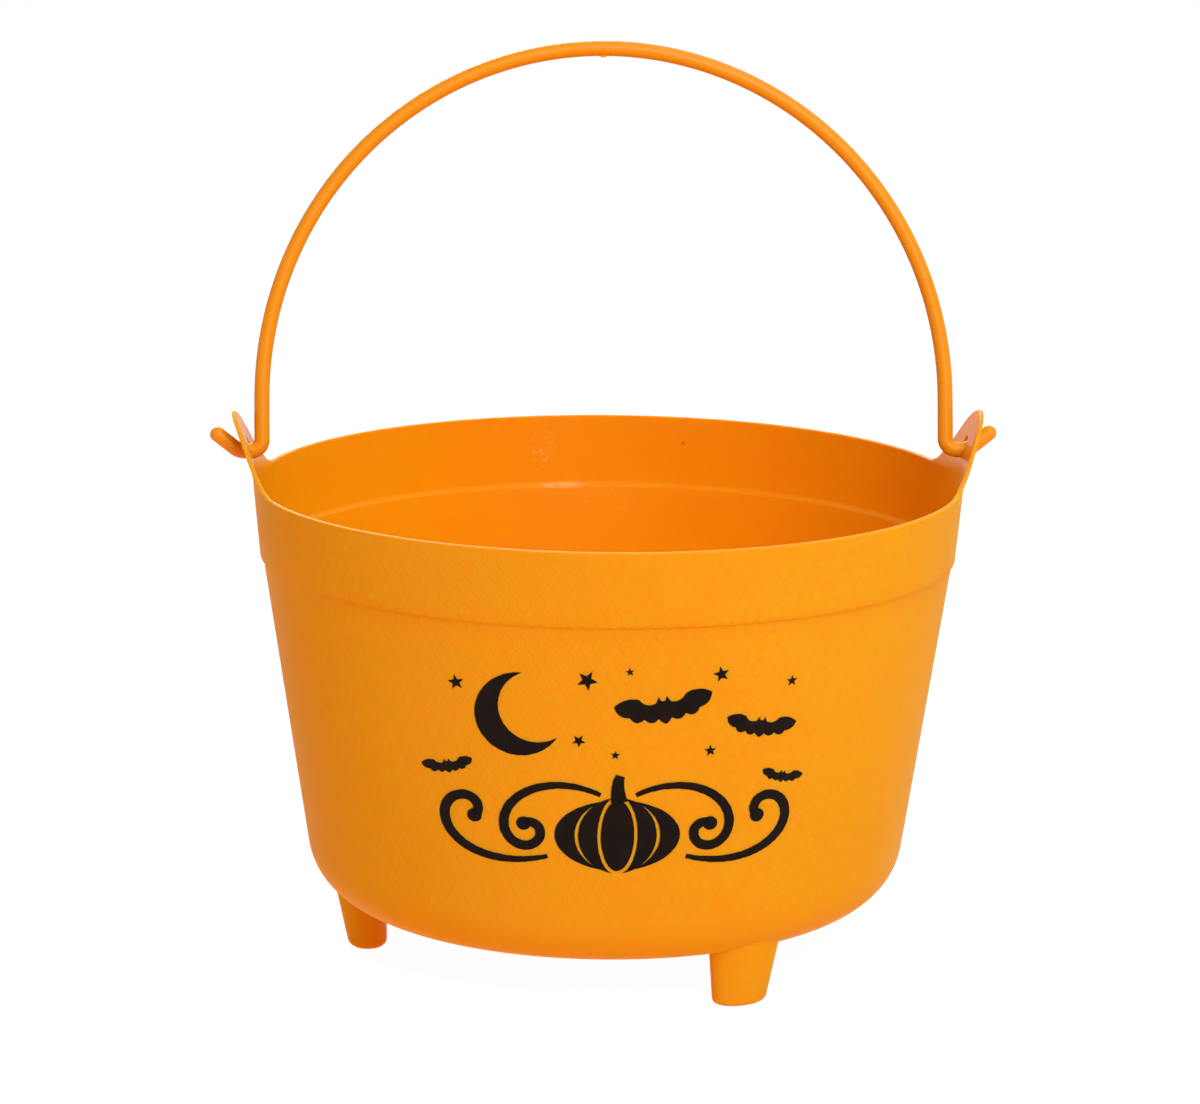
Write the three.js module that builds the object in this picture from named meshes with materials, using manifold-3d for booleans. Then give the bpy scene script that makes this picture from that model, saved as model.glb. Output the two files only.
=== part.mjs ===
// A round plastic treat bucket: one moulded shell with two ears and three hollow feet, and a snap-in bail
// handle of round rod. Millimetres and degrees, +Z up. The feet stand on the plane z = 0, the shell's axis is
// the Z axis, the ears and the handle's pivot line lie along X, and the front of the bucket faces -Y.

import * as THREE from 'three';
import { mergeVertices, toCreasedNormals } from 'three/addons/utils/BufferGeometryUtils.js';
import Module from 'manifold-3d';

const wasm = await Module();
wasm.setup();

// Shell
const RIM_RADIUS = 101.6;
const SHELL_DEPTH = 122.9;
const WALL = 1.5;
const LIP_ROUND = 0.5;
const BAND_HEIGHT = 20.7;
const BAND_DRAFT = 5.2;
const BAND_STEP = 0.9;
const BAND_STEP_DROP = 1.2;
const WALL_DRAFT = 8.63;
const CORNER_WIDTH = 22;
const CORNER_HEIGHT = 17.2;

// Ears: leaf-shaped tabs that go on from the rim, curl outwards and grow flatter towards their tips
const EAR_HEIGHT = 19.8;
const EAR_HALF_BASE = 25.5;
const EAR_TIP_RADIUS = 16.7;
const EAR_SHOULDER_RADIUS = 7.4;
const EAR_THICKNESS = 1.3;
const EAR_LEAN = 8.0;
const EAR_CURL = 3.4;
const EAR_ROOT = 1.5;

// Feet: oval tapered pegs, hollow from the inside
const FOOT_COUNT = 3;
const FOOT_HEIGHT = 14.8;
const FOOT_INSET = 17.1;
const FOOT_HALF_LENGTH = 8.5;
const FOOT_DRAFT = 7.8;
const FOOT_ROUND = 2.0;
const FOOT_ROUNDNESS = 0.68;
const FOOT_LEAN = 6.6;
const FIRST_FOOT_ANGLE = 180;

// Handle: a round rod, drawn in its own plane, with its pivot line through the origin
const ROD_DIAMETER = 4.4;
const PIVOT_ABOVE_RIM = 8.4;
const HANDLE_INSET = 3.6;
const HANDLE_LEG = 14.8;
const HANDLE_RISE = 100.4;
const HOOK_BEND_RADIUS = 3.2;
const HOOK_FLAT = 1.8;
const TAIL_BEND_RADIUS = 4.5;
const TAIL_ANGLE = 38;
const TAIL_LENGTH = 6.2;
const HANDLE_LEAN = 12.5;
const HANDLE_SIDE_PLAY = 1.0;
const SEAT_GAP = 0.3;
const HOLE_PLAY = 2.2;

// The pull, as a share of each side, with which a cubic follows a quarter of an ellipse
const QUARTER_EASE = 0.5523;

// Facets
const ROUND_SEGMENTS = 96;
const CORNER_STEPS = 8;
const LIP_STEPS = 2;
const EAR_STEPS_ACROSS = 20;
const EAR_STEPS_UP = 12;
const OUTLINE_CURVE_STEPS = 5;
const FOOT_SEGMENTS = 32;
const FOOT_ROUND_STEPS = 4;
const HOLE_SEGMENTS = 32;
const ROD_SIDES = 16;
const TAIL_BEND_STEPS = 4;
const HOOK_BEND_STEPS = 7;
const ARCH_STEPS = 56;
const WELD_TOLERANCE = 1e-4;
const OVERRUN = 5;

// Places worked out from the dimensions
const radians = THREE.MathUtils.degToRad;
const RIM_Z = FOOT_HEIGHT + SHELL_DEPTH;
const BAND_FOOT_Z = RIM_Z - BAND_HEIGHT;
const BAND_FOOT_RADIUS = RIM_RADIUS - BAND_HEIGHT * Math.tan(radians(BAND_DRAFT));
const BODY_TOP_Z = BAND_FOOT_Z - BAND_STEP_DROP;
const BODY_TOP_RADIUS = BAND_FOOT_RADIUS - BAND_STEP;
const CORNER_Z = FOOT_HEIGHT + CORNER_HEIGHT;
const CORNER_RADIUS = BODY_TOP_RADIUS - (BODY_TOP_Z - CORNER_Z) * Math.tan(radians(WALL_DRAFT));
const FOOT_CIRCLE_RADIUS = CORNER_RADIUS - FOOT_INSET;
const PIVOT_Z = RIM_Z + PIVOT_ABOVE_RIM;
const HANDLE_HALF_SPAN = RIM_RADIUS - HANDLE_INSET;
const ROD_RADIUS = ROD_DIAMETER / 2;
const HOLE_RADIUS = (ROD_DIAMETER + HOLE_PLAY) / 2;

// Solids

function toSolid(geometry) {
  const bare = geometry.clone();
  bare.deleteAttribute('normal');
  bare.deleteAttribute('uv');
  const welded = mergeVertices(bare, WELD_TOLERANCE);
  const corners = welded.index.array;
  const triangles = [];
  for (let i = 0; i < corners.length; i += 3) {
    const [a, b, c] = corners.subarray(i, i + 3);
    if (a !== b && b !== c && c !== a) {
      triangles.push(a, b, c);
    }
  }
  const mesh = new wasm.Mesh({
    numProp: 3,
    vertProperties: new Float32Array(welded.attributes.position.array),
    triVerts: new Uint32Array(triangles),
  });
  return new wasm.Manifold(mesh);
}

function toGeometry(solid, creaseAngle) {
  const mesh = solid.getMesh();
  const geometry = new THREE.BufferGeometry();
  geometry.setAttribute('position', new THREE.BufferAttribute(mesh.vertProperties, 3));
  geometry.setIndex(new THREE.BufferAttribute(mesh.triVerts, 1));
  return toCreasedNormals(geometry, radians(creaseAngle));
}

// Turns a half profile of [radius, height] points round the Z axis.
function revolve(profile, segments = ROUND_SEGMENTS) {
  const points = profile.map(([radius, height]) => new THREE.Vector2(radius, height));
  return new THREE.LatheGeometry(points, segments).rotateX(Math.PI / 2);
}

// [radius, height] points along an arc, from one angle to another.
function arcPoints(centreR, centreZ, radius, fromDegrees, toDegrees, steps) {
  const arc = new THREE.EllipseCurve(
    centreR, centreZ, radius, radius,
    radians(fromDegrees), radians(toDegrees), toDegrees < fromDegrees,
  );
  return arc.getPoints(steps).map((point) => [point.x, point.y]);
}

// Moves an open profile sideways by a distance, to its left as it is walked.
function offsetProfile(profile, distance) {
  const points = profile.map(([radius, height]) => new THREE.Vector2(radius, height));
  const headings = points.slice(1).map((point, i) => point.clone().sub(points[i]).normalize());
  return points.map((point, i) => {
    const before = headings[Math.max(i - 1, 0)];
    const after = headings[Math.min(i, headings.length - 1)];
    const along = before.clone().add(after).normalize();
    const reach = distance / along.dot(after);
    return [point.x - along.y * reach, point.y + along.x * reach];
  });
}

// The outside of the shell, walked from the middle of its floor up to the rim.
function outerProfile() {
  const pullOut = QUARTER_EASE * CORNER_WIDTH;
  const pullDown = QUARTER_EASE * CORNER_HEIGHT;
  const cornerStart = CORNER_RADIUS - CORNER_WIDTH;
  const corner = new THREE.CubicBezierCurve(
    new THREE.Vector2(cornerStart, FOOT_HEIGHT),
    new THREE.Vector2(cornerStart + pullOut, FOOT_HEIGHT),
    new THREE.Vector2(CORNER_RADIUS - pullDown * Math.tan(radians(WALL_DRAFT)), CORNER_Z - pullDown),
    new THREE.Vector2(CORNER_RADIUS, CORNER_Z),
  );
  return [
    [0, FOOT_HEIGHT],
    ...corner.getPoints(CORNER_STEPS).map((point) => [point.x, point.y]),
    [BODY_TOP_RADIUS, BODY_TOP_Z],
    [BAND_FOOT_RADIUS, BAND_FOOT_Z],
    [RIM_RADIUS, RIM_Z],
  ];
}

// The shell's outside as one full plug, with its lip rounded.
function shellPlug(outside) {
  const lip = arcPoints(RIM_RADIUS - LIP_ROUND, RIM_Z - LIP_ROUND, LIP_ROUND, 0, 90, LIP_STEPS);
  return toSolid(revolve([...outside.slice(0, -1), ...lip, [0, RIM_Z]]));
}

// What the core of the mould takes out of the plug. It flares at the lip and runs out above the rim.
function shellCavity(outside) {
  const inside = offsetProfile(outside, WALL);
  const mouthRadius = RIM_RADIUS - WALL;
  const lip = arcPoints(mouthRadius + LIP_ROUND, RIM_Z - LIP_ROUND, LIP_ROUND, 180, 90, LIP_STEPS);
  const [, floorZ] = inside[0];
  const top = RIM_Z + OVERRUN;
  return toSolid(revolve([
    [0, floorZ],
    ...inside.slice(1, -1),
    ...lip,
    [mouthRadius + LIP_ROUND, top],
    [0, top],
  ]));
}

// One foot on the +X side: a turned peg, squashed to an oval and leaned so that its inner side is upright.
// The inset shrinks it all round, which gives the well inside it.
function footPeg(inset, top) {
  const halfLength = FOOT_HALF_LENGTH - inset;
  const round = Math.max(FOOT_ROUND - inset, LIP_ROUND);
  const topRadius = halfLength + (top - inset) * Math.tan(radians(FOOT_DRAFT));
  const edge = arcPoints(halfLength - round, inset + round, round, -90, 0, FOOT_ROUND_STEPS);
  const peg = revolve([[0, inset], ...edge, [topRadius, top], [0, top]], FOOT_SEGMENTS);
  const ratio = (FOOT_HALF_LENGTH * FOOT_ROUNDNESS - inset) / halfLength;
  peg.scale(ratio, 1, 1);
  peg.applyMatrix4(new THREE.Matrix4().makeShear(0, 0, 0, 0, Math.tan(radians(FOOT_LEAN)), 0));
  peg.translate(FOOT_CIRCLE_RADIUS, 0, 0);
  return toSolid(peg);
}

// The ear's outline seen along X: [across, above the rim], with concave shoulders and a round tip.
function earOutline() {
  const tipZ = EAR_HEIGHT - EAR_TIP_RADIUS;
  const toTip = Math.hypot(EAR_HALF_BASE, tipZ);
  const flank = Math.asin(EAR_TIP_RADIUS / toTip) + Math.atan2(tipZ, EAR_HALF_BASE);
  const shoulder = EAR_HALF_BASE + EAR_SHOULDER_RADIUS * Math.tan(flank / 2);
  const quarter = Math.PI / 2;
  const outline = new THREE.Shape();
  outline.moveTo(-shoulder, -EAR_ROOT);
  outline.lineTo(-shoulder, 0);
  outline.absarc(-shoulder, EAR_SHOULDER_RADIUS, EAR_SHOULDER_RADIUS, -quarter, flank - quarter, false);
  outline.absarc(0, tipZ, EAR_TIP_RADIUS, quarter + flank, quarter - flank, true);
  outline.absarc(shoulder, EAR_SHOULDER_RADIUS, EAR_SHOULDER_RADIUS, -quarter - flank, -quarter, false);
  outline.lineTo(shoulder, -EAR_ROOT);
  outline.closePath();
  return { outline, halfWidth: shoulder };
}

// A plate bent to the ear's surface: it follows the wall at the rim, then curls out and flattens.
function bentPlate(halfWidth) {
  const plate = new THREE.BoxGeometry(
    EAR_THICKNESS, 2 * (halfWidth + OVERRUN), EAR_ROOT + EAR_HEIGHT + 2 * OVERRUN,
    1, EAR_STEPS_ACROSS, EAR_STEPS_UP,
  );
  const middle = RIM_RADIUS - EAR_THICKNESS / 2;
  const middleUp = (EAR_HEIGHT - EAR_ROOT) / 2;
  const position = plate.attributes.position;
  for (let i = 0; i < position.count; i += 1) {
    const up = position.getZ(i) + middleUp;
    const angle = position.getY(i) / middle;
    const rise = THREE.MathUtils.clamp(up / EAR_HEIGHT, 0, 1);
    const curvature = (1 - rise) ** 2;
    const out = middle + position.getX(i) + up * Math.tan(radians(EAR_LEAN)) + EAR_CURL * rise ** 2;
    position.setX(i, out - curvature * middle * (1 - Math.cos(angle)));
    position.setY(i, middle * Math.sin(angle));
    position.setZ(i, RIM_Z + up);
  }
  return toSolid(plate);
}

// One ear on the +X side: the bent plate, trimmed to the leaf outline.
function ear() {
  const { outline, halfWidth } = earOutline();
  const reach = EAR_CURL + EAR_HEIGHT + OVERRUN;
  const depth = 2 * reach;
  const cutter = new THREE.ExtrudeGeometry(outline, {
    depth, bevelEnabled: false, curveSegments: OUTLINE_CURVE_STEPS,
  });
  // The shape's plane is turned to YZ, with the extrusion along +X.
  cutter.applyMatrix4(new THREE.Matrix4().makeBasis(
    new THREE.Vector3(0, 1, 0), new THREE.Vector3(0, 0, 1), new THREE.Vector3(1, 0, 0),
  ));
  cutter.translate(RIM_RADIUS - reach, 0, RIM_Z);
  return bentPlate(halfWidth).intersect(toSolid(cutter));
}

// A bore along X through both ears. The rod lies on its lowest line, with the seat gap under it.
function earBore() {
  const length = 2 * (RIM_RADIUS + EAR_CURL + EAR_HEIGHT);
  const bore = new THREE.CylinderGeometry(HOLE_RADIUS, HOLE_RADIUS, length, HOLE_SEGMENTS);
  bore.rotateZ(Math.PI / 2);
  bore.translate(0, 0, PIVOT_Z + HOLE_RADIUS - ROD_RADIUS - SEAT_GAP);
  return toSolid(bore);
}

function bucket() {
  const outside = outerProfile();
  const footTop = FOOT_HEIGHT + CORNER_HEIGHT / 2;
  const footAngles = Array.from({ length: FOOT_COUNT }, (_, i) => FIRST_FOOT_ANGLE + i * 360 / FOOT_COUNT);
  const pegs = footAngles.map((angle) => footPeg(0, footTop).rotate([0, 0, angle]));
  const wells = footAngles.map((angle) => footPeg(WALL, footTop + OVERRUN).rotate([0, 0, angle]));
  const shell = shellPlug(outside)
    .add(wasm.Manifold.union(pegs))
    .subtract(shellCavity(outside))
    .subtract(wasm.Manifold.union(wells));
  const ears = ear().add(ear().rotate([0, 0, 180]));
  return shell.add(ears).subtract(earBore());
}

// A path whose stations are dealt out stretch by stretch, so tight bends get as many as the long arch.
class StationedPath extends THREE.Curve {
  constructor(stretches) {
    super();
    this.stretches = stretches;
    this.stations = stretches.reduce((sum, { steps }) => sum + steps, 0);
  }

  getUtoTmapping(u) {
    return u;
  }

  getPoint(t, target = new THREE.Vector3()) {
    let station = t * this.stations;
    for (const { curve, steps } of this.stretches) {
      if (station <= steps) {
        return target.copy(curve.getPointAt(Math.max(station / steps, 0)));
      }
      station -= steps;
    }
    return target.copy(this.stretches.at(-1).curve.getPointAt(1));
  }
}

// Curves of the handle's plane, which is XZ.
function planeArc(centreX, centreZ, radiusX, radiusZ, fromAngle, toAngle) {
  const flat = new THREE.EllipseCurve(
    centreX, centreZ, radiusX, radiusZ, fromAngle, toAngle, toAngle < fromAngle,
  );
  const arc = new THREE.Curve();
  arc.getPoint = (t, target = new THREE.Vector3()) => {
    const { x, y } = flat.getPoint(t);
    return target.set(x, 0, y);
  };
  return arc;
}

function planeLine(from, to) {
  return new THREE.LineCurve3(new THREE.Vector3(from[0], 0, from[1]), new THREE.Vector3(to[0], 0, to[1]));
}

// One end of the rod's centre line, from the tip of its tail to the foot of the arch. The side is 1 for the
// hook on +X and -1 for the one on -X.
function hookStretches(side) {
  const tail = radians(TAIL_ANGLE);
  const flatStart = HANDLE_HALF_SPAN + HOOK_BEND_RADIUS;
  const flatEnd = flatStart + HOOK_FLAT;
  const tailStart = [
    flatEnd + TAIL_BEND_RADIUS * Math.sin(tail),
    TAIL_BEND_RADIUS * (1 - Math.cos(tail)),
  ];
  const tailEnd = [tailStart[0] + TAIL_LENGTH * Math.cos(tail), tailStart[1] + TAIL_LENGTH * Math.sin(tail)];
  const quarter = Math.PI / 2;
  const mirror = ([x, z]) => [side * x, z];
  const line = (from, to) => planeLine(mirror(from), mirror(to));
  const bend = (x, radius, from, to) => (side > 0
    ? planeArc(x, radius, radius, radius, from, to)
    : planeArc(-x, radius, radius, radius, Math.PI - from, Math.PI - to));
  const tailBend = bend(flatEnd, TAIL_BEND_RADIUS, tail - quarter, -quarter);
  const hookBend = bend(flatStart, HOOK_BEND_RADIUS, -quarter, -2 * quarter);
  const leg = line([HANDLE_HALF_SPAN, HOOK_BEND_RADIUS], [HANDLE_HALF_SPAN, HANDLE_LEG]);
  return {
    tailEnd: mirror(tailEnd),
    stretches: [
      { curve: line(tailEnd, tailStart), steps: 1 },
      { curve: tailBend, steps: TAIL_BEND_STEPS },
      { curve: line([flatEnd, 0], [flatStart, 0]), steps: 1 },
      { curve: hookBend, steps: HOOK_BEND_STEPS },
      { curve: leg, steps: 1 },
    ],
  };
}

function reversed({ curve, steps }) {
  const back = new THREE.Curve();
  back.getPoint = (t, target) => curve.getPointAt(1 - t, target);
  return { curve: back, steps };
}

function handle() {
  const right = hookStretches(1);
  const left = hookStretches(-1);
  const arch = planeArc(0, HANDLE_LEG, HANDLE_HALF_SPAN, HANDLE_RISE, 0, Math.PI);
  const path = new StationedPath([
    ...right.stretches,
    { curve: arch, steps: ARCH_STEPS },
    ...left.stretches.reverse().map(reversed),
  ]);
  const section = new THREE.Shape();
  section.absarc(0, 0, ROD_RADIUS, 0, 2 * Math.PI, false);
  const rod = toSolid(new THREE.ExtrudeGeometry(section, {
    steps: path.stations, curveSegments: ROD_SIDES / 2, extrudePath: path,
  }));
  // The balls that round the ends fit inside the rod's flat sides.
  const ballRadius = ROD_RADIUS * Math.cos(Math.PI / ROD_SIDES);
  const ends = [right.tailEnd, left.tailEnd].map(([x, z]) => {
    const ball = new THREE.SphereGeometry(ballRadius, ROD_SIDES, ROD_SIDES / 2);
    return toSolid(ball.translate(x, 0, z));
  });
  return rod.add(wasm.Manifold.union(ends));
}

// The assembly

const orangeShell = new THREE.MeshStandardMaterial({ color: 0xf07c12, roughness: 0.45, metalness: 0 });
const orangeRod = new THREE.MeshStandardMaterial({ color: 0xf08414, roughness: 0.35, metalness: 0 });

const bucketMesh = new THREE.Mesh(toGeometry(bucket(), 35), orangeShell);
bucketMesh.name = 'bucket';

const handleMesh = new THREE.Mesh(toGeometry(handle(), 50), orangeRod);
handleMesh.name = 'handle';
handleMesh.position.set(-HANDLE_SIDE_PLAY, 0, PIVOT_Z);
handleMesh.rotation.x = -radians(HANDLE_LEAN);

const group = new THREE.Group();
group.add(bucketMesh, handleMesh);

export default group;
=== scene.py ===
# %% [markdown]
# # An orange treat bucket, built in cells
#
# The object is a round plastic bucket for collecting sweets. It is two mouldings: a thin shell with a
# stepped rim band, two leaf-shaped ears and three hollow feet, and a tall bail handle of round rod that is
# snapped into a hole in each ear. A one-colour print sits on the front. This file dresses the imported model
# with a finished version of both. Each step has a short text and then the cell that does the work.
#
# The first cell loads the imported model. Everything below is in metres and in that model's frame: the feet
# stand on z = 0, the ears lie along X and the front of the bucket faces -Y.

# %% Load the imported model
from functools import partial
from math import acos, asin, atan2, cos, hypot, pi, radians, sin, sqrt, tan

import bpy
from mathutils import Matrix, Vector


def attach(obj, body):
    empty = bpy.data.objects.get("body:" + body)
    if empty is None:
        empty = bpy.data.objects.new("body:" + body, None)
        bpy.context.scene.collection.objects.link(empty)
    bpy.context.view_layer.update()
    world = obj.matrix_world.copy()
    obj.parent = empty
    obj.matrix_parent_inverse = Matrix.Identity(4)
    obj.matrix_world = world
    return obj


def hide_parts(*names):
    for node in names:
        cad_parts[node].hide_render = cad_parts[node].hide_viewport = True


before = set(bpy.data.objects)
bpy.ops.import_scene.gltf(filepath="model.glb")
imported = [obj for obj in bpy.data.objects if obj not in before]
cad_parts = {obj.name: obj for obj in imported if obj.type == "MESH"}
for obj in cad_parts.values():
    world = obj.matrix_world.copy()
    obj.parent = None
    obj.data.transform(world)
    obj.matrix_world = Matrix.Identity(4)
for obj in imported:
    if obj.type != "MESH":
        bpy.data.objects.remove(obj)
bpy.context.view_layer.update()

MM = 0.001


def in_mm(lengths):
    """Lengths in metres as rounded millimetres, for the printed notes."""
    return [round(length / MM, 1) for length in lengths]


# %% [markdown]
# ## The camera
#
# The picture that this scene is matched to was taken from a little over a metre away with a long lens, from
# slightly left of the middle, and looks down at the rim by about twelve degrees. A long lens keeps the two
# sides of the shell almost parallel. The camera comes first, because every later choice is judged through
# it. It is rolled by half a degree, as a camera in the hand is.

# %% Place the camera


def add_new(add, name, **settings):
    """Deselects everything, runs an operator that adds an object, and names that object."""
    bpy.ops.object.select_all(action="DESELECT")
    add(**settings)
    bpy.context.object.name = name
    return bpy.context.object


camera = add_new(
    bpy.ops.object.camera_add, "camera_front", location=(-0.0828, -1.3694, 0.4101),
    rotation=(radians(77.91), radians(-0.51), radians(-3.26)),
)
camera.data.sensor_width = 36
camera.data.lens = 146.3
bpy.context.scene.camera = camera
print("camera is", round(camera.location.length, 3), "m from the middle of the floor")

# %% [markdown]
# ## Light and floor
#
# Plain plastic looks right under plain light. A broad soft lamp stands to the front right and gives the
# shell its light side, a weaker one hangs overhead for the rim, and one stands behind, so that the back
# isn't left dark. They are area lamps, because a large lamp gives a soft highlight that a small one can't.
#
# Orange plastic on a white table lights itself: what falls into its shadows has been thrown back and forth
# between the bucket and the table and has turned warm. The air of the world is tinted for that reason, and
# for the rays that light the bucket the floor glows orange, a painted warm bounce light, though the floor is
# no lamp. The lamps stay white.
#
# The background has to be white to the camera, and to whatever mirrors it, and still keep the shadow of the
# feet. For those rays the floor glows, and the little that is missing to white is ordinary diffuse paint,
# which a shadow can darken. From below the floor is clear, so that the underside of the bucket can be seen.

# %% Helpers for shader nodes


def wire(tree, value, socket):
    """Links an output to a socket, or writes a plain value on it."""
    if isinstance(value, bpy.types.NodeSocket):
        tree.links.new(value, socket)
    else:
        socket.default_value = value


def add_node(tree, kind, *values, **named_values):
    """Adds a shader node, and wires values to its first inputs and to others by name."""
    node = tree.nodes.new("ShaderNode" + kind)
    for value, socket in zip(values, node.inputs):
        wire(tree, value, socket)
    for name, value in named_values.items():
        wire(tree, value, node.inputs[name])
    return node


def calculate(tree, operation, *values, kind="Math"):
    """A Math node, or a Vector Math node, with its inputs filled in. Returns its first output."""
    node = add_node(tree, kind, *values)
    node.operation = operation
    return node.outputs[0]


def rays_that_show_the_background(tree):
    """One for camera, glossy and transmission rays, and nought for the rays that only carry light."""
    path = add_node(tree, "LightPath").outputs
    shown = path["Is Camera Ray"]
    for kind in ("Is Glossy Ray", "Is Transmission Ray"):
        shown = calculate(tree, "MAXIMUM", shown, path[kind])
    return shown


print("helpers for shader nodes are ready")

# %% Fill the air with light
scene = bpy.context.scene
scene.view_settings.view_transform = "Standard"

world = bpy.data.worlds.new("studio_air")
scene.world = world
world.use_nodes = True
air = world.node_tree
air.nodes.clear()
fill_light = add_node(air, "Background", Color=(1.0, 0.62, 0.32, 1), Strength=0.37)
white_air = add_node(air, "Background", Color=(1, 1, 1, 1))
shown = rays_that_show_the_background(air)
choose = add_node(air, "MixShader", shown, fill_light.outputs[0], white_air.outputs[0])
add_node(air, "OutputWorld", choose.outputs[0])
print("world", world.name)

# %% Hang the lamps


def soft_lamp(name, place, size, watts):
    """Adds a square white area lamp that points at the middle of the bucket."""
    towards = Vector((0, 0, 0.09)) - Vector(place)
    aim = towards.to_track_quat("-Z", "Y").to_euler()
    lamp = add_new(bpy.ops.object.light_add, name, type="AREA", location=place, rotation=aim)
    lamp.data.size = size
    lamp.data.energy = watts


soft_lamp("lamp_front_right", (0.42, -1.55, 1.15), 0.9, 22.5)
soft_lamp("lamp_overhead", (0.5, 0.1, 1.45), 0.8, 4.0)
soft_lamp("lamp_behind", (-0.3, 1.75, 1.1), 0.9, 17.0)

# %% Lay the floor
floor = add_new(bpy.ops.mesh.primitive_plane_add, "floor", size=12, location=(0, 0, 0))

paper = bpy.data.materials.new("white_paper")
paper.use_nodes = True
paper_nodes = paper.node_tree
paper_nodes.nodes.clear()
thin_paint = add_node(paper_nodes, "BsdfDiffuse", Color=(0.1, 0.14, 0.18, 1))
glow = add_node(paper_nodes, "Emission", Strength=0.96)
seen_floor = add_node(paper_nodes, "AddShader", thin_paint.outputs[0], glow.outputs[0])
# For the rays that light the bucket the floor is painted warm and glows orange: a painted warm bounce light,
# though the floor is no lamp.
full_paint = add_node(paper_nodes, "BsdfDiffuse", Color=(0.5, 0.4, 0.3, 1))
warm_bounce = add_node(paper_nodes, "Emission", Color=(1.0, 0.35, 0.08, 1), Strength=0.6)
unseen_floor = add_node(paper_nodes, "AddShader", full_paint.outputs[0], warm_bounce.outputs[0])
shown = rays_that_show_the_background(paper_nodes)
top_side = add_node(paper_nodes, "MixShader", shown, unseen_floor.outputs[0], seen_floor.outputs[0])
facing = add_node(paper_nodes, "NewGeometry")
clear = add_node(paper_nodes, "BsdfTransparent")
both_sides = add_node(
    paper_nodes, "MixShader", facing.outputs["Backfacing"], top_side.outputs[0], clear.outputs[0],
)
add_node(paper_nodes, "OutputMaterial", both_sides.outputs[0])
floor.data.materials.append(paper)
print("floor covers", [round(side, 1) for side in floor.dimensions[:2]], "m")

# %% [markdown]
# ## The wall of the shell, drawn as a line
#
# A round moulding is described best by its section. The section here is one line: it starts under the
# middle of the floor, runs out round the deep bottom corner, up the tapered wall, over the small ledge under
# the rim band, round the lip, and back down the inside to the middle of the floor. The two sides are 1.5 mm
# apart. The mould's outer half is cut sharp at the ledge, so that the band throws a thin line of shadow on
# the wall, and its polished core is rounded there, so the ledge inside is softer.
#
# One vertex is walked along the points of the line with extrude, as one would draw it by hand. The helper
# for that draws the handle and the print too. Just below the lip the line has many rows close together. They
# are the stock that the ears are pulled from.

# %% Measures of the shell
RIM_RADIUS, RIM_Z = 101.6, 137.7
FLOOR_Z = 14.8
WALL = 1.5
LIP = 0.5
LEDGE_LOW, LEDGE_HIGH = (98.816, 115.8), (99.716, 117.0)
CORNER_START, CORNER_END = (64.098, 14.8), (86.098, 32.0)
WALL_DRAFT = radians(8.63)
STOCK_LOW, STOCK_HIGH = RIM_Z - 1.5, RIM_Z - LIP
STOCK_ROWS = 18


def between(start, end, steps, ease=False):
    """Points after the start up to the end, on a straight line or on an eased step."""
    points = []
    for i in range(1, steps + 1):
        t = i / steps
        across = t * t * (3 - 2 * t) if ease else t
        points.append((start[0] + (end[0] - start[0]) * across, start[1] + (end[1] - start[1]) * t))
    return points


def corner_points(steps):
    """The bottom corner: a cubic that leaves the floor level and meets the wall at its draft."""
    ease = 0.5523
    down = ease * (CORNER_END[1] - CORNER_START[1])
    a = Vector(CORNER_START)
    b = a + Vector((ease * (CORNER_END[0] - CORNER_START[0]), 0))
    d = Vector(CORNER_END)
    c = d - Vector((down * tan(WALL_DRAFT), down))
    points = []
    for i in range(1, steps + 1):
        t = i / steps
        p = a * (1 - t) ** 3 + b * 3 * t * (1 - t) ** 2 + c * 3 * t * t * (1 - t) + d * t ** 3
        points.append((p.x, p.y))
    return points


def moved_inwards(points, distance):
    """The same line at a distance on its left side, which is the inside of the shell."""
    headings = [(Vector(b) - Vector(a)).normalized() for a, b in zip(points, points[1:])]
    moved = []
    for i, point in enumerate(points):
        before, after = headings[max(i - 1, 0)], headings[min(i, len(headings) - 1)]
        along = (before + after).normalized()
        reach = distance / along.dot(after)
        moved.append((point[0] - along.y * reach, point[1] + along.x * reach))
    return moved


CORNER_STEPS = 26
plain_outside = [
    (0, FLOOR_Z), CORNER_START, *corner_points(CORNER_STEPS), LEDGE_LOW, LEDGE_HIGH, (RIM_RADIUS, RIM_Z),
]
plain_inside = moved_inwards(plain_outside, WALL)
print("inside of the ledge", [round(value, 2) for value in (*plain_inside[-3], *plain_inside[-2])])

# %% Fill in the rows of the section


def at_height(low, high, z):
    """The point of a straight stretch at one height."""
    t = (z - low[1]) / (high[1] - low[1])
    return (low[0] + (high[0] - low[0]) * t, z)


def lip_points(centre_radius, start, end, steps=6):
    """A quarter of the lip's rounding, from one angle to another."""
    turns = [radians(start + (end - start) * i / steps) for i in range(1, steps + 1)]
    return [(centre_radius + LIP * cos(a), RIM_Z - LIP + LIP * sin(a)) for a in turns]


def one_side(plain, mouth, foot_z, head_z):
    """One side of the wall up to where the lip's rounding starts, with the ledge between two heights."""
    floor_edge, corner_end = plain[1], plain[1 + CORNER_STEPS]
    ledge_low = at_height(plain[-4], plain[-3], foot_z)
    ledge_high = at_height(plain[-2], plain[-1], head_z)
    top = (mouth, STOCK_HIGH)
    stock = at_height(ledge_high, top, STOCK_LOW)
    return [
        plain[0],
        *between(plain[0], floor_edge, 9),
        *plain[2:2 + CORNER_STEPS],
        *between(corner_end, ledge_low, 18),
        *between(ledge_low, ledge_high, 8, ease=True),
        *between(ledge_high, stock, 7),
        *between(stock, top, STOCK_ROWS),
    ]


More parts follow.
